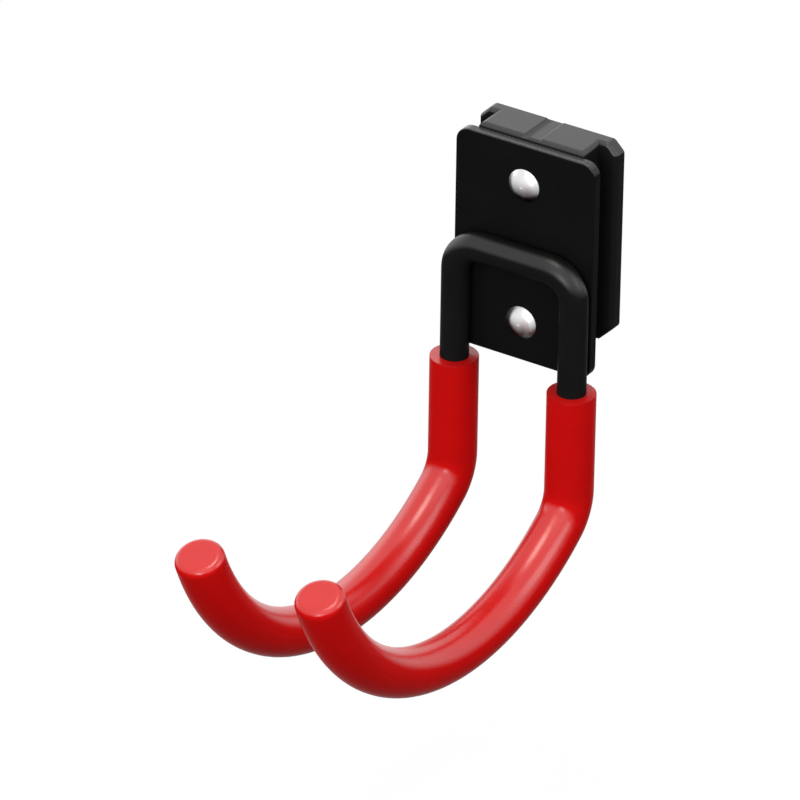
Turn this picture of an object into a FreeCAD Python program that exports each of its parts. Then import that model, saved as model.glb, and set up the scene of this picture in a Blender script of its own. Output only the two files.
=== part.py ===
import FreeCAD, Part
import math
import os

import Sketcher
from FreeCAD import Vector

# Garage utility hook: one rod bent into two prongs, with a soft sleeve on each, is welded to a steel plate.
# Two rivets hold the plate to a moulded foot whose wide back flange slides into a T-slot on the wall.
# Frame: origin at the middle of the foot's back face, +Y into the wall, prongs out along -Y, +Z up, millimetres.

SIZES = [
    ("foot_height", 59.8, "rail foot, top to bottom"),
    ("foot_depth", 12.3, "rail foot, back face to plate"),
    ("flange_width", 43.4, "back flange of the foot, side to side"),
    ("flange_thickness", 4.0, "back flange of the foot, front to back"),
    ("flange_top_chamfer", 3.0, "upper corners of the back flange"),
    ("groove_depth", 5.3, "side of the flange in to the side of the narrow front block"),
    ("flange_bottom_ledge", 0.8, "flange left beside the block at the bottom, inside the lead-in chamfers"),
    ("foot_edge_radius", 1.4, "rounding of the foot's top and flange edges"),
    ("corner_over_edge", 0.2, "rounding of the flange's corners, over that of its edges"),
    ("channel_width", 5.5, "shallow channel across the foot's top, at its mouth"),
    ("channel_depth", 0.25, "shallow channel across the foot's top"),
    ("channel_side_radius", 1.3, "hollow sides of the channel, which run out into its floor"),
    ("plate_side_overhang", 0.1, "mounting plate beyond the back flange, on each side"),
    ("plate_height", 64.7, "mounting plate, top to bottom"),
    ("plate_thickness", 2.8, "mounting plate, front to back"),
    ("plate_corner_radius", 4.0, "corners of the mounting plate"),
    ("plate_edge_radius", 0.4, "broken edge round the plate's front"),
    ("plate_drop", 1.4, "top of the foot down to the top of the plate"),
    ("rivet_top_margin", 13.0, "upper rivet down from the top of the foot"),
    ("rivet_bottom_margin", 5.3, "lower rivet up from the bottom of the foot"),
    ("rivet_diameter", 4.8, "rivet shank"),
    ("rivet_clearance", 0.1, "rivet hole over rivet shank, on the diameter"),
    ("rivet_head_diameter", 9.5, "domed rivet head"),
    ("rivet_head_height", 1.7, "domed rivet head, rim included"),
    ("rivet_head_rim", 0.3, "straight rim under the dome"),
    ("rivet_tail_diameter", 7.0, "closed tail of the rivet"),
    ("rivet_tail_height", 2.0, "closed tail of the rivet"),
    ("recess_clearance", 0.4, "tail recess over the rivet tail, all round"),
    ("recess_cover", 0.8, "end of the rivet tail below the foot's back face"),
    ("rod_diameter", 8.0, "hook rod"),
    ("rod_spacing", 37.3, "between the axes of the two prongs"),
    ("weld_set_down", 0.15, "how far the weld sets the rod into its flat on the plate"),
    ("bridge_drop", 31.9, "top of the plate down to the axis of the rod's bridge"),
    ("bridge_bend_radius", 8.1, "bends of the bridge, at the rod's axis"),
    ("sleeve_gap", 2.4, "bottom of the plate down to the top of the sleeves"),
    ("sleeve_straight", 29.5, "straight stretch of the sleeves above the knee"),
    ("knee_radius", 11.7, "bend under the straight stretch, at the axis"),
    ("knee_turn", 54.6, "degrees turned in the knee"),
    ("cradle_radius", 78.0, "long curve of the prong, at the axis"),
    ("cradle_turn", 104.5, "degrees turned in the long curve"),
    ("sleeve_diameter", 13.5, "outside of the sleeves"),
    ("sleeve_tip_wall", 2.5, "closed end of the sleeves"),
    ("sleeve_tip_radius", 2.0, "rounding of the closed end"),
    ("sleeve_mouth_radius", 0.15, "rounding of the open end"),
]

TOUCH = 1e-4

os.makedirs("parts", exist_ok=True)
doc = FreeCAD.newDocument("utility_hook")
sheet = doc.addObject("Spreadsheet::Sheet", "sizes")
for row, (alias, value, meaning) in enumerate(SIZES, start=1):
    sheet.set(f"A{row}", meaning)
    sheet.set(f"B{row}", str(value))
    sheet.setAlias(f"B{row}", alias)
doc.recompute()

# Levels that several pieces share, as expressions on the sheet
PLATE_FRONT = "-(sizes.foot_depth + sizes.plate_thickness)"
PLATE_TOP = "(sizes.foot_height / 2 - sizes.plate_drop)"
NECK_WIDTH = "(sizes.flange_width - 2 * sizes.groove_depth)"
UPPER_RIVET = "(sizes.foot_height / 2 - sizes.rivet_top_margin)"
LOWER_RIVET = "(sizes.rivet_bottom_margin - sizes.foot_height / 2)"
FLANGE_CORNER = "(sizes.foot_edge_radius + sizes.corner_over_edge)"
RIVET_HOLE = "sizes.rivet_diameter + sizes.rivet_clearance"
RECESS_DEPTH = "sizes.rivet_tail_height + sizes.recess_cover"
ROD_OUT = "(sizes.rod_diameter / 2 - sizes.weld_set_down)"
SLEEVE_TOP_DROP = "(sizes.plate_height + sizes.sleeve_gap)"
KNEE_DROP = f"({SLEEVE_TOP_DROP} + sizes.sleeve_straight)"
ROD_END_TURN = "(sizes.cradle_turn - sizes.sleeve_tip_wall / sizes.cradle_radius * 180 / pi)"


def number(expression):
    """The present value of an expression on the sheet."""
    return float(sheet.evalExpression(expression))


def new_body(label, x="0", y="0", z="0"):
    """A body whose own origin stands at the given place in the part's frame."""
    body = doc.addObject("PartDesign::Body", label)
    body.Label = label
    body.setExpression("Placement.Base.x", x)
    body.setExpression("Placement.Base.y", y)
    body.setExpression("Placement.Base.z", z)
    return body


def new_sketch(body, name, role, depth="0"):
    """A sketch on one of the body's origin planes, moved along that plane's normal."""
    plane = next(feature for feature in body.Origin.OriginFeatures if feature.Role == role)
    sketch = body.newObject("Sketcher::SketchObject", f"{body.Label}_{name}")
    sketch.AttachmentSupport = (plane, [""])
    sketch.MapMode = "FlatFace"
    sketch.setExpression("AttachmentOffset.Base.z", depth)
    return sketch


def drive(sketch, name, expression, kind, *elements):
    """Adds a dimension to a sketch and ties it to the sheet."""
    is_angle = kind == "Angle"
    value = math.radians(number(expression)) if is_angle else number(expression)
    index = sketch.addConstraint(Sketcher.Constraint(kind, *elements, value))
    sketch.renameConstraint(index, name)
    sketch.setExpression(f"Constraints.{name}", f"{expression} * 1 deg" if is_angle else expression)


def add_lines(sketch, points, closed=True):
    """Draws lines from point to point, joined end to end, and returns their numbers."""
    ends = points[1:] + points[:1] if closed else points[1:]
    lines = [sketch.addGeometry(Part.LineSegment(Vector(*start), Vector(*end)), False)
             for start, end in zip(points, ends)]
    following = lines[1:] + lines[:1] if closed else lines[1:]
    for line, after in zip(lines, following):
        sketch.addConstraint(Sketcher.Constraint("Coincident", line, 2, after, 1))
    return lines


def add_rectangle(sketch, width, top, bottom):
    """Draws a rectangle centred on the sketch's upright axis, between two levels given as expressions."""
    half, high, low = number(width) / 2, number(top), number(bottom)
    over, right, under, left = add_lines(sketch, [(-half, high), (half, high), (half, low), (-half, low)])
    sketch.addConstraint(Sketcher.Constraint("Horizontal", under))
    for line in (right, left):
        sketch.addConstraint(Sketcher.Constraint("Vertical", line))
    sketch.addConstraint(Sketcher.Constraint("Symmetric", over, 1, over, 2, -2))
    drive(sketch, "width", width, "DistanceX", over, 1, over, 2)
    drive(sketch, "height", f"{top} - ({bottom})", "DistanceY", right, 2, right, 1)
    drive(sketch, "level", f"-({bottom})", "DistanceY", under, 1, -1, 1)


def add_circle(sketch, diameter, x="0", y="0", name="circle"):
    """Draws a circle, with its centre given by expressions in the sketch's own axes."""
    centre = Vector(number(x), number(y))
    circle = sketch.addGeometry(Part.Circle(centre, Vector(0, 0, 1), number(diameter) / 2), False)
    drive(sketch, f"{name}_diameter", diameter, "Diameter", circle)
    drive(sketch, f"{name}_x", x, "DistanceX", -1, 1, circle, 3)
    drive(sketch, f"{name}_y", y, "DistanceY", -1, 1, circle, 3)


def pad(body, sketch, length):
    feature = body.newObject("PartDesign::Pad", f"{sketch.Name}_pad")
    feature.Profile = sketch
    feature.setExpression("Length", length)
    doc.recompute()
    return feature


def pocket(body, sketch, length):
    """Cuts a sketch along its plane's normal, and makes sure that the cut took something away."""
    before = body.Shape.Volume
    feature = body.newObject("PartDesign::Pocket", f"{sketch.Name}_pocket")
    feature.Profile = sketch
    feature.Reversed = True
    feature.setExpression("Length", length)
    doc.recompute()
    if body.Shape.Volume > before - TOUCH:
        raise RuntimeError(f"{feature.Name} cuts nothing")
    return feature


def middle(edge):
    return edge.valueAt((edge.FirstParameter + edge.LastParameter) / 2)


def runs_along(edge, axis):
    """Whether an edge is straight and parallel to an axis."""
    return isinstance(edge.Curve, Part.Line) and abs(abs(edge.Curve.Direction.dot(axis)) - 1) < TOUCH


def finish_edges(body, kind, name, size_property, size, wanted):
    """Rounds or chamfers the edges of the body's last feature that pass a test."""
    base = body.Tip
    names = [f"Edge{i}" for i, edge in enumerate(base.Shape.Edges, start=1) if wanted(edge)]
    feature = body.newObject(f"PartDesign::{kind}", f"{body.Label}_{name}")
    feature.Base = (base, names)
    feature.setExpression(size_property, size)
    doc.recompute()
    return feature


def same(a, b):
    return abs(a - b) < TOUCH


def make_foot():
    """The moulded foot: a flange with chamfered corners behind a narrower block."""
    body = new_body("rail_foot")
    top, bottom = "sizes.foot_height / 2", "-sizes.foot_height / 2"

    flange = new_sketch(body, "flange", "XZ_Plane")
    add_rectangle(flange, "sizes.flange_width", top, bottom)
    pad(body, flange, "sizes.flange_thickness")
    across = Vector(0, 1, 0)
    finish_edges(body, "Chamfer", "top_corners", "Size", "sizes.flange_top_chamfer",
                 lambda edge: runs_along(edge, across) and middle(edge).z > 0)
    finish_edges(body, "Chamfer", "bottom_corners", "Size", "sizes.groove_depth - sizes.flange_bottom_ledge",
                 lambda edge: runs_along(edge, across) and middle(edge).z < 0)
    bottom_z = number(bottom)
    finish_edges(body, "Fillet", "corners", "Radius", FLANGE_CORNER,
                 lambda edge: runs_along(edge, across) and not same(middle(edge).z, bottom_z))

    block = new_sketch(body, "block", "XZ_Plane")
    add_rectangle(block, NECK_WIDTH, top, bottom)
    pad(body, block, "sizes.foot_depth")

    top_z, flange_y = number(top), -number("sizes.flange_thickness")
    neck_x = number(f"{NECK_WIDTH} / 2")

    def is_rounded(edge):
        at = middle(edge)
        on_block_rim = same(at.z, top_z) and at.y < flange_y - TOUCH
        on_flange_rim = same(at.y, flange_y) and abs(at.x) > neck_x + TOUCH
        return on_block_rim or on_flange_rim

    finish_edges(body, "Fillet", "rounding", "Radius", "sizes.foot_edge_radius", is_rounded)

    channel = new_sketch(body, "channel", "XZ_Plane")
    half, depth, side = (number(f"sizes.{alias}") for alias in ("channel_width / 2", "channel_depth",
                                                                "channel_side_radius"))
    lean = math.acos(1 - depth / side)
    floor_half = half - side * math.sin(lean)
    floor_z, down = top_z - depth, -math.pi / 2
    upright = Vector(0, 0, 1)
    mouth = channel.addGeometry(Part.LineSegment(Vector(-half, top_z), Vector(half, top_z)), False)
    floor = channel.addGeometry(Part.LineSegment(Vector(-floor_half, floor_z), Vector(floor_half, floor_z)), False)
    right = channel.addGeometry(Part.ArcOfCircle(Part.Circle(Vector(floor_half, floor_z + side), upright, side),
                                                 down, down + lean), False)
    left = channel.addGeometry(Part.ArcOfCircle(Part.Circle(Vector(-floor_half, floor_z + side), upright, side),
                                                down - lean, down), False)
    channel.addConstraint(Sketcher.Constraint("Coincident", mouth, 2, right, 2))
    channel.addConstraint(Sketcher.Constraint("Coincident", mouth, 1, left, 1))
    channel.addConstraint(Sketcher.Constraint("Tangent", floor, 2, right, 1))
    channel.addConstraint(Sketcher.Constraint("Tangent", floor, 1, left, 2))
    channel.addConstraint(Sketcher.Constraint("Horizontal", floor))
    channel.addConstraint(Sketcher.Constraint("Symmetric", mouth, 1, mouth, 2, -2))
    channel.addConstraint(Sketcher.Constraint("Equal", left, right))
    drive(channel, "mouth", "sizes.channel_width", "DistanceX", mouth, 1, mouth, 2)
    drive(channel, "side", "sizes.channel_side_radius", "Radius", right)
    drive(channel, "depth", "sizes.channel_depth", "DistanceY", floor, 2, mouth, 2)
    drive(channel, "level", top, "DistanceY", -1, 1, mouth, 1)
    pocket(body, channel, "sizes.foot_depth")

    for name, level in (("upper", UPPER_RIVET), ("lower", LOWER_RIVET)):
        hole = new_sketch(body, f"{name}_hole", "XZ_Plane")
        add_circle(hole, RIVET_HOLE, y=level)
        pocket(body, hole, "sizes.foot_depth")
        recess = new_sketch(body, f"{name}_recess", "XZ_Plane")
        add_circle(recess, "sizes.rivet_tail_diameter + 2 * sizes.recess_clearance", y=level)
        pocket(body, recess, RECESS_DEPTH)
    return body


def make_plate():
    """The steel plate, with rounded corners; its own origin is at the middle of its front top edge."""
    body = new_body("mounting_plate", y=PLATE_FRONT, z=PLATE_TOP)
    outline = new_sketch(body, "outline", "XZ_Plane", depth="-sizes.plate_thickness")
    add_rectangle(outline, "sizes.flange_width + 2 * sizes.plate_side_overhang", "0", "-sizes.plate_height")
    pad(body, outline, "sizes.plate_thickness")
    finish_edges(body, "Fillet", "corners", "Radius", "sizes.plate_corner_radius",
                 lambda edge: runs_along(edge, Vector(0, 1, 0)))
    finish_edges(body, "Fillet", "edge", "Radius", "sizes.plate_edge_radius",
                 lambda edge: same(middle(edge).y, 0))
    for name, level in (("upper", UPPER_RIVET), ("lower", LOWER_RIVET)):
        hole = new_sketch(body, f"{name}_hole", "XZ_Plane", depth="-sizes.plate_thickness")
        add_circle(hole, RIVET_HOLE, y=f"{level} - {PLATE_TOP}")
        pocket(body, hole, "sizes.plate_thickness")
    return body


def make_rivet(label, level):
    """A solid rivet: domed head on the plate, shank through plate and foot, closed tail in the foot's recess."""
    body = new_body(label, y=PLATE_FRONT, z=level)
    profile = new_sketch(body, "profile", "XY_Plane")
    grip = f"(sizes.plate_thickness + sizes.foot_depth - ({RECESS_DEPTH}))"
    shank, head, tail = "sizes.rivet_diameter / 2", "sizes.rivet_head_diameter / 2", "sizes.rivet_tail_diameter / 2"
    shank_x, head_x, tail_x = number(shank), number(head), number(tail)
    rim_y, apex_y = -number("sizes.rivet_head_rim"), -number("sizes.rivet_head_height")
    grip_y = number(grip)
    end_y = grip_y + number("sizes.rivet_tail_height")
    lines = add_lines(profile, [(head_x, rim_y), (head_x, 0), (shank_x, 0), (shank_x, grip_y), (tail_x, grip_y),
                                (tail_x, end_y), (0, end_y), (0, apex_y)], closed=False)
    rim, seat, side, step, tail_side, end, axis = lines
    rise = rim_y - apex_y
    dome_radius = (head_x ** 2 + rise ** 2) / (2 * rise)
    centre = Vector(0, apex_y + dome_radius)
    lean = math.asin(head_x / dome_radius)
    dome = profile.addGeometry(Part.ArcOfCircle(Part.Circle(centre, Vector(0, 0, 1), dome_radius),
                                                -math.pi / 2, -math.pi / 2 + lean), False)
    profile.addConstraint(Sketcher.Constraint("Coincident", dome, 1, axis, 2))
    profile.addConstraint(Sketcher.Constraint("Coincident", dome, 2, rim, 1))
    profile.addConstraint(Sketcher.Constraint("PointOnObject", dome, 3, -2))
    for line in (rim, side, tail_side):
        profile.addConstraint(Sketcher.Constraint("Vertical", line))
    for line in (seat, step, end):
        profile.addConstraint(Sketcher.Constraint("Horizontal", line))
    profile.addConstraint(Sketcher.Constraint("PointOnObject", seat, 1, -1))
    profile.addConstraint(Sketcher.Constraint("PointOnObject", axis, 1, -2))
    profile.addConstraint(Sketcher.Constraint("PointOnObject", axis, 2, -2))
    drive(profile, "head", head, "DistanceX", -1, 1, rim, 1)
    drive(profile, "shank", shank, "DistanceX", -1, 1, side, 1)
    drive(profile, "tail", tail, "DistanceX", -1, 1, tail_side, 1)
    drive(profile, "rim", "sizes.rivet_head_rim", "DistanceY", rim, 1, -1, 1)
    drive(profile, "apex", "sizes.rivet_head_height", "DistanceY", axis, 2, -1, 1)
    drive(profile, "grip", grip, "DistanceY", -1, 1, side, 2)
    drive(profile, "tail_height", "sizes.rivet_tail_height", "DistanceY", tail_side, 1, tail_side, 2)
    turned = body.newObject("PartDesign::Revolution", f"{label}_turned")
    turned.Profile = profile
    turned.ReferenceAxis = (profile, ["V_Axis"])
    turned.Angle = 360
    doc.recompute()
    return body


def prong_path(body, name, side, start_drop, turn):
    """The line of one prong in its upright plane: straight down, round the knee, along the long curve."""
    path = new_sketch(body, name, "YZ_Plane", depth=f"{side} * sizes.rod_spacing / 2")
    out, start, knee = number(ROD_OUT), number(start_drop), number(KNEE_DROP)
    knee_radius, cradle_radius = number("sizes.knee_radius"), number("sizes.cradle_radius")
    knee_turn, cradle_turn = math.radians(number("sizes.knee_turn")), math.radians(number(turn))
    straight = path.addGeometry(Part.LineSegment(Vector(-out, -start), Vector(-out, -knee)), False)
    knee_centre = Vector(-out - knee_radius, -knee)
    towards_knee = Vector(math.cos(-knee_turn), math.sin(-knee_turn))
    cradle_centre = knee_centre + towards_knee * (knee_radius - cradle_radius)
    upright = Vector(0, 0, 1)
    bend = path.addGeometry(Part.ArcOfCircle(Part.Circle(knee_centre, upright, knee_radius), -knee_turn, 0), False)
    curve = path.addGeometry(Part.ArcOfCircle(Part.Circle(cradle_centre, upright, cradle_radius),
                                              -knee_turn - cradle_turn, -knee_turn), False)
    path.addConstraint(Sketcher.Constraint("Vertical", straight))
    path.addConstraint(Sketcher.Constraint("Tangent", straight, 2, bend, 2))
    path.addConstraint(Sketcher.Constraint("Tangent", bend, 1, curve, 2))
    drive(path, "out", ROD_OUT, "DistanceX", straight, 1, -1, 1)
    drive(path, "start", start_drop, "DistanceY", straight, 1, -1, 1)
    drive(path, "knee", KNEE_DROP, "DistanceY", straight, 2, -1, 1)
    drive(path, "knee_radius", "sizes.knee_radius", "Radius", bend)
    drive(path, "cradle_radius", "sizes.cradle_radius", "Radius", curve)
    drive(path, "knee_turn", "sizes.knee_turn", "Angle", bend)
    drive(path, "cradle_turn", turn, "Angle", curve)
    return path


def sweep(body, kind, name, path, diameter, x, drop):
    """Carries a circle along a path that starts straight down from the given place."""
    section = new_sketch(body, f"{name}_section", "XY_Plane", depth=f"-({drop})")
    add_circle(section, diameter, x=x, y=f"-{ROD_OUT}")
    feature = body.newObject(f"PartDesign::{kind}", f"{body.Label}_{name}")
    feature.Profile = section
    feature.Spine = path
    doc.recompute()
    return feature


def make_rod():
    """One rod: up from the left prong, over the bridge on the plate, and down to the right prong."""
    body = new_body("hook_rod", y=PLATE_FRONT, z=PLATE_TOP)
    half, drop, bend = (number(f"sizes.{alias}") for alias in ("rod_spacing / 2", "bridge_drop", "bridge_bend_radius"))
    legs_end = number(SLEEVE_TOP_DROP)

    path = new_sketch(body, "bridge_path", "XZ_Plane", depth=ROD_OUT)
    upright = Vector(0, 0, 1)
    left_leg = path.addGeometry(Part.LineSegment(Vector(-half, -legs_end), Vector(-half, -drop - bend)), False)
    left_bend = path.addGeometry(Part.ArcOfCircle(Part.Circle(Vector(bend - half, -drop - bend), upright, bend),
                                                  math.pi / 2, math.pi), False)
    bridge = path.addGeometry(Part.LineSegment(Vector(bend - half, -drop), Vector(half - bend, -drop)), False)
    right_bend = path.addGeometry(Part.ArcOfCircle(Part.Circle(Vector(half - bend, -drop - bend), upright, bend),
                                                   0, math.pi / 2), False)
    right_leg = path.addGeometry(Part.LineSegment(Vector(half, -drop - bend), Vector(half, -legs_end)), False)
    path.addConstraint(Sketcher.Constraint("Tangent", left_leg, 2, left_bend, 2))
    path.addConstraint(Sketcher.Constraint("Tangent", left_bend, 1, bridge, 1))
    path.addConstraint(Sketcher.Constraint("Tangent", bridge, 2, right_bend, 2))
    path.addConstraint(Sketcher.Constraint("Tangent", right_bend, 1, right_leg, 1))
    path.addConstraint(Sketcher.Constraint("Vertical", left_leg))
    path.addConstraint(Sketcher.Constraint("Vertical", right_leg))
    path.addConstraint(Sketcher.Constraint("Horizontal", bridge))
    path.addConstraint(Sketcher.Constraint("Symmetric", left_leg, 1, right_leg, 2, -2))
    path.addConstraint(Sketcher.Constraint("Equal", left_bend, right_bend))
    drive(path, "spacing", "sizes.rod_spacing", "DistanceX", left_leg, 1, right_leg, 2)
    drive(path, "bend", "sizes.bridge_bend_radius", "Radius", left_bend)
    drive(path, "drop", "sizes.bridge_drop", "DistanceY", bridge, 1, -1, 1)
    drive(path, "legs_end", SLEEVE_TOP_DROP, "DistanceY", left_leg, 1, -1, 1)
    sweep(body, "AdditivePipe", "bridge", path, "sizes.rod_diameter", "-sizes.rod_spacing / 2", SLEEVE_TOP_DROP)

    for name, side in (("left", -1), ("right", 1)):
        path = prong_path(body, f"{name}_path", side, SLEEVE_TOP_DROP, ROD_END_TURN)
        sweep(body, "AdditivePipe", f"{name}_prong", path, "sizes.rod_diameter",
              f"{side} * sizes.rod_spacing / 2", SLEEVE_TOP_DROP)

    flat = new_sketch(body, "weld_flat", "XZ_Plane", depth="-sizes.weld_set_down")
    add_rectangle(flat, "sizes.rod_spacing + 2 * sizes.rod_diameter", "0", "-sizes.plate_height")
    pocket(body, flat, "sizes.weld_set_down")
    return body


def make_sleeve(name, side):
    """A soft sleeve drawn over one prong, closed at its tip."""
    body = new_body(f"{name}_sleeve", y=PLATE_FRONT, z=PLATE_TOP)
    x = f"{side} * sizes.rod_spacing / 2"
    outer = prong_path(body, "outer_path", side, SLEEVE_TOP_DROP, "sizes.cradle_turn")
    sweep(body, "AdditivePipe", "outer", outer, "sizes.sleeve_diameter", x, SLEEVE_TOP_DROP)
    radius = number("sizes.sleeve_diameter / 2")
    mouth_z = -number(SLEEVE_TOP_DROP)

    def is_end(edge):
        return isinstance(edge.Curve, Part.Circle) and same(edge.Curve.Radius, radius) and len(edge.Vertexes) == 1

    tip_y = min(edge.Curve.Center.y for edge in body.Tip.Shape.Edges if is_end(edge))
    finish_edges(body, "Fillet", "tip", "Radius", "sizes.sleeve_tip_radius",
                 lambda edge: is_end(edge) and same(edge.Curve.Center.y, tip_y))
    finish_edges(body, "Fillet", "mouth", "Radius", "sizes.sleeve_mouth_radius",
                 lambda edge: is_end(edge) and same(edge.Curve.Center.z, mouth_z))
    bore = prong_path(body, "bore_path", side, SLEEVE_TOP_DROP, ROD_END_TURN)
    sweep(body, "SubtractivePipe", "bore", bore, "sizes.rod_diameter", x, SLEEVE_TOP_DROP)
    return body


pieces = [
    make_foot(),
    make_plate(),
    make_rivet("upper_rivet", UPPER_RIVET),
    make_rivet("lower_rivet", LOWER_RIVET),
    make_rod(),
    make_sleeve("left", -1),
    make_sleeve("right", 1),
]
doc.recompute()

for item in doc.Objects:
    if "Invalid" in item.State or "Error" in item.State:
        raise RuntimeError(f"{item.Label} failed: {item.State}")
for piece in pieces:
    if piece.Shape.isNull() or not piece.Shape.isValid() or len(piece.Shape.Solids) != 1:
        raise RuntimeError(f"{piece.Label} is not one sound solid")
for piece in pieces:
    piece.Shape.exportStep(f"parts/{piece.Label}.step")
    print(f"{piece.Label}: {piece.Shape.Volume:.1f} mm3")
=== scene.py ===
import math

import bmesh
import bpy
from mathutils import Matrix, Vector


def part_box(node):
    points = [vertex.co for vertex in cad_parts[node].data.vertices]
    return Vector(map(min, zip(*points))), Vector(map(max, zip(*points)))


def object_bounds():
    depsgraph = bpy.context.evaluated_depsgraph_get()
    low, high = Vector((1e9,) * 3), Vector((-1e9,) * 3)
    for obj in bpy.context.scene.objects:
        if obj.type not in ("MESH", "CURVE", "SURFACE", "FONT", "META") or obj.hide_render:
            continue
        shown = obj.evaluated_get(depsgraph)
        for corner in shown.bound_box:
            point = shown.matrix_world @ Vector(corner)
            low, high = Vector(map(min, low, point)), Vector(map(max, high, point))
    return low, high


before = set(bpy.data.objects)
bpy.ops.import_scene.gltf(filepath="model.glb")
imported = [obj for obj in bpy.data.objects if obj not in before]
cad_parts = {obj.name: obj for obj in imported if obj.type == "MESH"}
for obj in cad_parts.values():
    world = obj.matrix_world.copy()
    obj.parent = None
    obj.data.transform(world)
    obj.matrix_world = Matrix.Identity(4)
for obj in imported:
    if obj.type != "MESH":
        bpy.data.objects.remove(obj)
cad_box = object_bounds()
cad_middle = (cad_box[0] + cad_box[1]) / 2

# Utility hook: black coated rod and plate, bright rivets, black moulded foot, red vinyl sleeves.
# All sizes are in metres, in the hook's own frame: the wall is behind at +Y, the prongs reach out along -Y.

MM = 0.001


class Wire:
    """A value in a node tree. Sums on it add Math nodes."""

    def __init__(self, tree, socket):
        self.tree = tree
        self.socket = socket

    def sum(self, operation, first, second):
        return self.tree.node("ShaderNodeMath", {"operation": operation}, {0: first, 1: second})

    def __add__(self, other):
        return self.sum("ADD", self, other)

    def __sub__(self, other):
        return self.sum("SUBTRACT", self, other)

    def __rsub__(self, other):
        return self.sum("SUBTRACT", other, self)

    def __mul__(self, other):
        return self.sum("MULTIPLY", self, other)

    __radd__ = __add__
    __rmul__ = __mul__


class Tree:
    """A node tree that is filled by one method."""

    def __init__(self, owner):
        owner.use_nodes = True
        self.nodes = owner.node_tree.nodes
        self.links = owner.node_tree.links

    def feed(self, socket, value):
        if isinstance(value, Wire):
            self.links.new(value.socket, socket)
        else:
            socket.default_value = value

    def node(self, kind, settings=None, inputs=None, output=0):
        """Adds a node, with its settings first and then its sockets, and gives one of its outputs."""
        made = self.nodes.new(kind)
        for name, value in (settings or {}).items():
            setattr(made, name, value)
        for key, value in (inputs or {}).items():
            self.feed(made.inputs[key], value)
        return Wire(self, made.outputs[output])

    def place(self):
        return self.node("ShaderNodeTexCoord", output="Object")

    def along(self, vector, axis):
        return self.node("ShaderNodeSeparateXYZ", None, {0: vector}, axis)

    def facing_up(self):
        """1 on faces that look straight up, 0 on upright ones and -1 on those that look down."""
        return self.along(self.node("ShaderNodeNewGeometry", output="Normal"), "Z")

    def ray(self, kind):
        """1 for light rays of one kind, and 0 for the others."""
        return self.node("ShaderNodeLightPath", output=kind)

    def seen(self):
        """1 for rays that show the surroundings: seen, mirrored or passed through."""
        rays = self.ray("Is Camera Ray") + self.ray("Is Glossy Ray") + self.ray("Is Transmission Ray")
        return self.node("ShaderNodeMath", {"operation": "MINIMUM"}, {0: rays, 1: 1.0})

    def noise(self, place, grain, detail=2.0):
        """Soft noise whose blobs are about one grain wide."""
        inputs = {"Vector": place, "Scale": 1 / grain, "Detail": detail}
        return self.node("ShaderNodeTexNoise", None, inputs)

    def rise(self, value, low, high, kind="SMOOTHSTEP"):
        """Goes from 0 to 1 as the value goes from low to high, smoothly unless another kind is given."""
        inputs = {"Value": value, "From Min": low, "From Max": high}
        return self.node("ShaderNodeMapRange", {"interpolation_type": kind}, inputs)

    def tint(self, factor, first, second):
        """Goes from the first colour to the second as the factor goes from 0 to 1."""
        return self.node("ShaderNodeMix", {"data_type": "RGBA"}, {0: factor, 6: first, 7: second}, 2)

    def greys(self, factor, tone, shares):
        """Goes from a darker to a lighter share of one grey tone."""
        dark, light = shares
        return self.tint(factor, grey(tone * dark), grey(tone * light))

    def lean(self, factor, first, second):
        """Goes from the first normal to the second as the factor goes from 0 to 1."""
        return self.node("ShaderNodeMix", {"data_type": "VECTOR"}, {0: factor, 4: first, 5: second}, 1)

    def bump(self, height, distance, strength=1.0):
        inputs = {"Height": height, "Distance": distance, "Strength": strength}
        return self.node("ShaderNodeBump", None, inputs, "Normal")

    def blend(self, factor, first, second):
        """Goes from the first shader to the second as the factor goes from 0 to 1."""
        return self.node("ShaderNodeMixShader", None, {0: factor, 1: first, 2: second})


# The little gloss that is left where a finish isn't polished
DULL_GLOSS = 0.005


class Finish(Tree):
    """A surface finish: one Principled shader, or a polished one and a dull one."""

    def __init__(self, name):
        self.material = bpy.data.materials.new(name)
        super().__init__(self.material)
        self.shader = self.nodes["Principled BSDF"]
        self.skin = Wire(self, self.shader.outputs["BSDF"])

    def surface(self, polished=None, **sockets):
        """Sets the finish. Where a polished share is given, the rest of it is dull."""
        inputs = {name.replace("_", " "): value for name, value in sockets.items()}
        for name, value in inputs.items():
            self.feed(self.shader.inputs[name], value)
        if polished:
            dull = self.node("ShaderNodeBsdfPrincipled", None, {**inputs, "Specular IOR Level": DULL_GLOSS})
            self.show(self.blend(polished, dull, self.skin))
        return self.material

    def show(self, shader):
        self.feed(self.nodes["Material Output"].inputs["Surface"], shader)


def grey(level):
    return (level, level, level, 1)


# Powder coat on the plate and the rod
COAT_PEEL = 0.9 * MM
COAT_PEEL_DEPTH = 0.02 * MM
COAT_PEEL_STRENGTH = 0.6
COAT_GRAIN = 0.22 * MM
COAT_GRAIN_SHARE = 0.25
COAT_GRAIN_DULLS = 0.05
COAT_CLOUD = 14 * MM
COAT_CLOUD_DULLS = 0.06
COAT_TONES = (0.75, 1.3)
COAT_POLISHED = (0.2, 0.5)
# Faces that look up: specks of wear together with painted light, a painted highlight on the plate's top and
# painted shade on the rod's top
SHEEN_AND_WEAR_SPECK = 0.5 * MM
SHEEN_AND_WEAR_SPECK_STEP = (0.3, 0.7)
SHEEN_AND_WEAR_TONES = (0.45, 1.55)
SHEEN_AND_WEAR_FACING = (0.6, 0.95)


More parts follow.
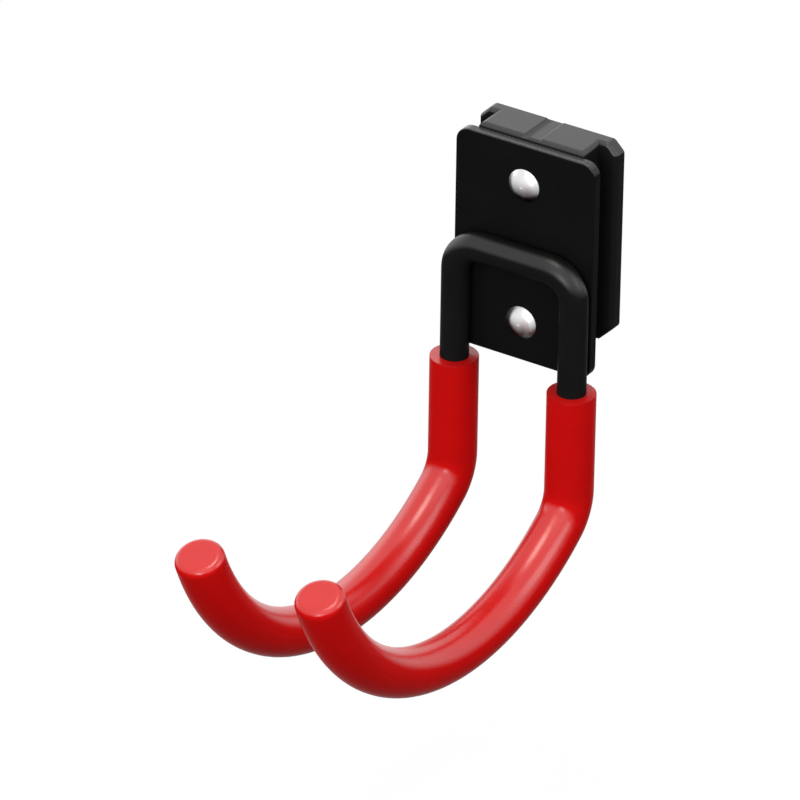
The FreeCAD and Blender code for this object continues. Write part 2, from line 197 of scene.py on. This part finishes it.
def powder_coat(name, tone, gloss, roughness, top_sheen_and_wear):
    """Black powder coat on steel: a fine orange peel, with slightly duller clouds. Faces that look up are
    polished, and their colour goes to another grey in specks, which is wear and painted light together: a
    painted highlight on the plate's top and painted shade on the rod's top."""
    finish = Finish(name)
    place = finish.place()
    facing = finish.facing_up()
    peel = finish.noise(place, COAT_PEEL)
    grain = finish.noise(place, COAT_GRAIN, detail=1.0)
    cloud = finish.noise(place, COAT_CLOUD, detail=3.0)
    speck = finish.rise(finish.noise(place, SHEEN_AND_WEAR_SPECK, detail=3.0), *SHEEN_AND_WEAR_SPECK_STEP)
    coat = finish.greys(cloud, tone, COAT_TONES)
    # Painted light with wear: the grey of faces that look up, lighter than the coat on the plate and darker
    # than it on the rod
    sheen_and_wear = finish.greys(speck, top_sheen_and_wear, SHEEN_AND_WEAR_TONES)
    return finish.surface(
        finish.rise(facing, *COAT_POLISHED),
        Base_Color=finish.tint(finish.rise(facing, *SHEEN_AND_WEAR_FACING), coat, sheen_and_wear),
        Roughness=roughness + cloud * COAT_CLOUD_DULLS + grain * COAT_GRAIN_DULLS,
        Specular_IOR_Level=gloss,
        Normal=finish.bump(peel + grain * COAT_GRAIN_SHARE, COAT_PEEL_DEPTH, COAT_PEEL_STRENGTH),
    )


# Moulded plastic of the foot, with depths in millimetres
MOULD_GRAIN = 0.3 * MM
MOULD_GRAIN_DEPTH = 0.006
MOULD_CLOUD = 9 * MM
MOULD_TONES = (0.85, 1.15)
MOULD_ROUGHNESS = 0.28
MOULD_DULLS = 0.06
MOULD_POLISHED = (0.2, 0.5)
MOULD_TOP_FACING = (0.4, 0.6)
CHANNEL_LEFT = (-2.75 * MM, -0.3 * MM)
CHANNEL_LEFT_DEPTH = 0.744
CHANNEL_RIGHT = (1.95 * MM, 3.05 * MM)
CHANNEL_RIGHT_DEPTH = 0.12


def moulded_plastic(name, tone, gloss):
    """Black plastic with a fine moulded grain, polished where it looks up. In the foot's top the channel's
    left side runs out softly into its floor, and its right edge is blunt."""
    finish = Finish(name)
    place = finish.place()
    facing = finish.facing_up()
    across = finish.along(place, "X")
    left = 1 - finish.rise(across, *CHANNEL_LEFT, "LINEAR")
    right = 1 - finish.rise(across, *CHANNEL_RIGHT)
    soft = left * left * CHANNEL_LEFT_DEPTH + right * CHANNEL_RIGHT_DEPTH
    upward = finish.rise(facing, *MOULD_TOP_FACING)
    grain = finish.noise(place, MOULD_GRAIN)
    cloud = finish.noise(place, MOULD_CLOUD, detail=3.0)
    return finish.surface(
        finish.rise(facing, *MOULD_POLISHED),
        Base_Color=finish.greys(cloud, tone, MOULD_TONES),
        Roughness=MOULD_ROUGHNESS + cloud * MOULD_DULLS + grain * MOULD_DULLS,
        Specular_IOR_Level=gloss,
        Normal=finish.bump(grain * MOULD_GRAIN_DEPTH + soft * upward, MM),
    )


# Dipped vinyl of the sleeves, whose mouths are a gap below the plate
SLEEVE_GAP = 2.4 * MM
VINYL_DEEP = (0.57, 0.0052, 0.0052, 1)
VINYL_LIGHT = (0.64, 0.0062, 0.0062, 1)
VINYL_WAVE = 7 * MM
VINYL_WAVE_DEPTH = 0.03 * MM
VINYL_WAVE_STRENGTH = 0.4
VINYL_WAVE_DULLS = 0.06
VINYL_SKIN = 0.8 * MM
VINYL_SKIN_SHARE = 0.06
VINYL_SKIN_DULLS = 0.04
VINYL_ROUGHNESS = 0.21
VINYL_POLISHED = (0.3, 0.6)
MOUTH_FACING = (0.1, 0.3)
MOUTH_EDGE_LOW = 0.3 * MM
MOUTH_EDGE_HIGH = 0.2 * MM
MOUTH_BEHIND = (-50 * MM, -40 * MM)
STRAIGHT_UP = (0, 0, 1)


def red_vinyl(name, gloss, mouth):
    """Soft dipped vinyl: deep red, with a satin skin that waves very slightly and is polished where it looks
    up. At the mouth's level it is cut flat, without a shiny edge."""
    finish = Finish(name)
    place = finish.place()
    facing = finish.facing_up()
    cut = (finish.rise(facing, *MOUTH_FACING)
           * finish.rise(finish.along(place, "Z"), mouth - MOUTH_EDGE_LOW, mouth - MOUTH_EDGE_HIGH)
           * finish.rise(finish.along(place, "Y"), *MOUTH_BEHIND))
    wave = finish.noise(place, VINYL_WAVE, detail=1.5)
    skin = finish.noise(place, VINYL_SKIN)
    waved = finish.bump(wave + skin * VINYL_SKIN_SHARE, VINYL_WAVE_DEPTH, VINYL_WAVE_STRENGTH)
    return finish.surface(
        finish.rise(facing, *VINYL_POLISHED),
        Base_Color=finish.tint(wave, VINYL_DEEP, VINYL_LIGHT),
        Roughness=VINYL_ROUGHNESS + wave * VINYL_WAVE_DULLS + skin * VINYL_SKIN_DULLS,
        Specular_IOR_Level=gloss,
        Normal=finish.lean(cut, waved, STRAIGHT_UP),
    )


# Plated steel of the rivets, with depths in millimetres
RIVET_SMEAR = 1.6 * MM
RIVET_SMEAR_DULLS = 0.05
RIVET_SMEAR_DARK = 0.77
RIVET_SMEAR_LIGHT = 0.86
# Painted shade: faces that look down go to this dark grey, a painted dark reflection
RIVET_PAINTED_SHADE = 0.08
RIVET_PAINTED_SHADE_FACING = (-0.35, 0.3)
RIVET_ROUGHNESS = 0.29
RING_PITCH = 0.35 * MM
RING_DEPTH = 0.0012
RING_START = (0.6 * MM, 2.0 * MM)
RIM_FALL = (2.8 * MM, 6.7 * MM)
RIM_DEPTH = 0.75
POLE = (0.2 * MM, 0.7 * MM)
ACROSS_AXIS = (1, 0, 1)


def bright_rivet(name, level):
    """Bright plated steel with painted shade on the faces that look down, a painted dark reflection, and
    faint turning rings about the rivet's own axis. The rim falls off a little more steeply than the dome,
    and the very middle is plain."""
    finish = Finish(name)
    place = finish.place()
    centred = finish.node("ShaderNodeVectorMath", {"operation": "SUBTRACT"}, {0: place, 1: (0, 0, level)})
    flat = finish.node("ShaderNodeVectorMath", {"operation": "MULTIPLY"}, {0: centred, 1: ACROSS_AXIS})
    radius = finish.node("ShaderNodeVectorMath", {"operation": "LENGTH"}, {0: flat}, "Value")
    ring = finish.node("ShaderNodeMath", {"operation": "SINE"}, {0: radius * (math.tau / RING_PITCH)})
    rings = ring * finish.rise(radius, *RING_START) * RING_DEPTH
    turned = finish.bump(rings - finish.rise(radius, *RIM_FALL) * RIM_DEPTH, MM)
    plain = finish.node("ShaderNodeNewGeometry", output="True Normal")
    smear = finish.noise(place, RIVET_SMEAR, detail=3.0)
    bright = finish.tint(smear, grey(RIVET_SMEAR_DARK), grey(RIVET_SMEAR_LIGHT))
    # Painted shade on faces that look down, standing in for a dark reflection
    unshaded_share = finish.rise(finish.facing_up(), *RIVET_PAINTED_SHADE_FACING)
    return finish.surface(
        Base_Color=finish.tint(unshaded_share, grey(RIVET_PAINTED_SHADE), bright),
        Metallic=1.0,
        Roughness=RIVET_ROUGHNESS + smear * RIVET_SMEAR_DULLS,
        Normal=finish.lean(finish.rise(radius, *POLE), plain, turned),
    )


def dress(node, material):
    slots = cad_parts[node].data.materials
    slots.clear()
    slots.append(material)


def middle_of(node):
    low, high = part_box(node)
    return (low + high) / 2


dress("rail_foot", moulded_plastic("foot_plastic", tone=0.011, gloss=0.70))
# The last grey of each coat is painted light with wear on faces that look up: a painted highlight on the
# plate, painted shade on the rod
dress("mounting_plate", powder_coat("plate_coat", tone=0.0068, gloss=0.34, roughness=0.15, top_sheen_and_wear=0.05))
dress("hook_rod", powder_coat("rod_coat", tone=0.0095, gloss=0.46, roughness=0.32, top_sheen_and_wear=0.003))
for rivet in ("upper_rivet", "lower_rivet"):
    dress(rivet, bright_rivet(f"{rivet}_steel", level=middle_of(rivet).z))
for sleeve in ("left_sleeve", "right_sleeve"):
    sleeve_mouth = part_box("mounting_plate")[0].z - SLEEVE_GAP
    dress(sleeve, red_vinyl(f"{sleeve}_vinyl", gloss=0.8, mouth=sleeve_mouth))

# Studio
WHITE = (1, 1, 1, 1)
AMBIENT = 0.70
FLOOR_DROP = 0.06
FLOOR_SIZE = 4.0
FLOOR_NEAR = 0.52
FLOOR_TONE = 0.95
FLOOR_ROUGHNESS = 0.9
FLOOR_GLOW = 0.01
SHADOW_SHARE = 0.06
LAMP_DISTANCE = 1.0


def build_world():
    """White all round for what is seen, mirrored or passed through, and a little less as light."""
    world = bpy.data.worlds.new("studio")
    bpy.context.scene.world = world
    tree = Tree(world)
    background = tree.nodes["Background"]
    tree.feed(background.inputs["Color"], WHITE)
    tree.feed(background.inputs["Strength"], tree.seen() * (1 - AMBIENT) + AMBIENT)


def floor_paper():
    """Pale paper that shows white with a faint shadow, mirrored too. It sends hardly any light up to the
    hook, and it is see-through from below."""
    finish = Finish("floor_paper")
    finish.surface(Base_Color=grey(FLOOR_TONE), Roughness=FLOOR_ROUGHNESS)
    white = finish.node("ShaderNodeEmission", None, {"Color": WHITE})
    dim = finish.node("ShaderNodeEmission", None, {"Color": grey(FLOOR_GLOW)})
    clear = finish.node("ShaderNodeBsdfTransparent")
    below = finish.node("ShaderNodeNewGeometry", output="Backfacing")
    shown = finish.blend(finish.seen() * (1 - SHADOW_SHARE), finish.skin, white)
    shown = finish.blend(finish.ray("Is Diffuse Ray"), shown, dim)
    finish.show(finish.blend(below, shown, clear))
    return finish.material


def build_floor():
    """A square sheet under the hook, whose left and front edges are near it."""
    past = FLOOR_SIZE / 2 - FLOOR_NEAR
    mesh = bpy.data.meshes.new("floor")
    sheet = bmesh.new()
    bmesh.ops.create_grid(sheet, x_segments=1, y_segments=1, size=FLOOR_SIZE / 2)
    middle = (past, past + cad_middle.y, cad_box[0].z - FLOOR_DROP)
    bmesh.ops.translate(sheet, verts=sheet.verts, vec=middle)
    sheet.to_mesh(mesh)
    sheet.free()
    mesh.materials.append(floor_paper())
    floor = bpy.data.objects.new("floor", mesh)
    bpy.context.scene.collection.objects.link(floor)


def add_softbox(name, direction, width, height, radiance, tint=(1, 1, 1)):
    """A soft rectangular lamp that faces the hook from the given direction."""
    lamp = bpy.data.lights.new(name, "AREA")
    lamp.shape = "RECTANGLE"
    lamp.size, lamp.size_y = width, height
    lamp.energy = radiance * math.pi * width * height
    lamp.color = tint
    holder = bpy.data.objects.new(name, lamp)
    away = Vector(direction).normalized()
    holder.location = cad_middle + away * LAMP_DISTANCE
    holder.rotation_euler = away.to_track_quat("Z", "Y").to_euler()
    holder.visible_camera = False
    bpy.context.scene.collection.objects.link(holder)


# The photograph's view of the hook
VIEW_RIGHT = math.radians(32.52)
VIEW_DOWN = math.radians(29.22)
VIEW_ROLL = math.radians(0.83)
VIEW_DISTANCE = 2.108
VIEW_AIM = Vector((-15.81, -50.37, -37.23)) * MM
LENS = 355.16
SENSOR = 36.0
CLIP_NEAR = 0.1
CLIP_FAR = 20


def build_camera():
    back = Vector((math.sin(VIEW_RIGHT) * math.cos(VIEW_DOWN), -math.cos(VIEW_RIGHT) * math.cos(VIEW_DOWN),
                   math.sin(VIEW_DOWN)))
    right = Vector((math.cos(VIEW_RIGHT), math.sin(VIEW_RIGHT), 0))
    turn = Matrix((right, back.cross(right), back)).transposed()
    data = bpy.data.cameras.new("camera")
    data.lens = LENS
    data.sensor_width = SENSOR
    data.clip_start, data.clip_end = CLIP_NEAR, CLIP_FAR
    camera = bpy.data.objects.new("camera", data)
    camera.matrix_world = (Matrix.Translation(VIEW_AIM + back * VIEW_DISTANCE) @ turn.to_4x4()
                           @ Matrix.Rotation(VIEW_ROLL, 4, "Z"))
    bpy.context.scene.collection.objects.link(camera)
    bpy.context.scene.camera = camera


build_world()
build_floor()
add_softbox("top_softbox", (-0.05, 0.0, 1.0), width=0.29, height=0.29, radiance=7.6, tint=(1, 0.95, 0.86))
add_softbox("front_softbox", (0.25, -0.92, 0.30), width=0.36, height=0.44, radiance=6.6)
add_softbox("fill_softbox", (0.35, -0.61, 0.71), width=1.20, height=1.20, radiance=0.45)
add_softbox("right_softbox", (0.80, 0.26, 0.54), width=0.44, height=0.44, radiance=2.2)
add_softbox("left_softbox", (-0.87, 0.40, 0.28), width=1.60, height=0.55, radiance=0.70)
build_camera()
bpy.context.scene.view_settings.view_transform = "Standard"
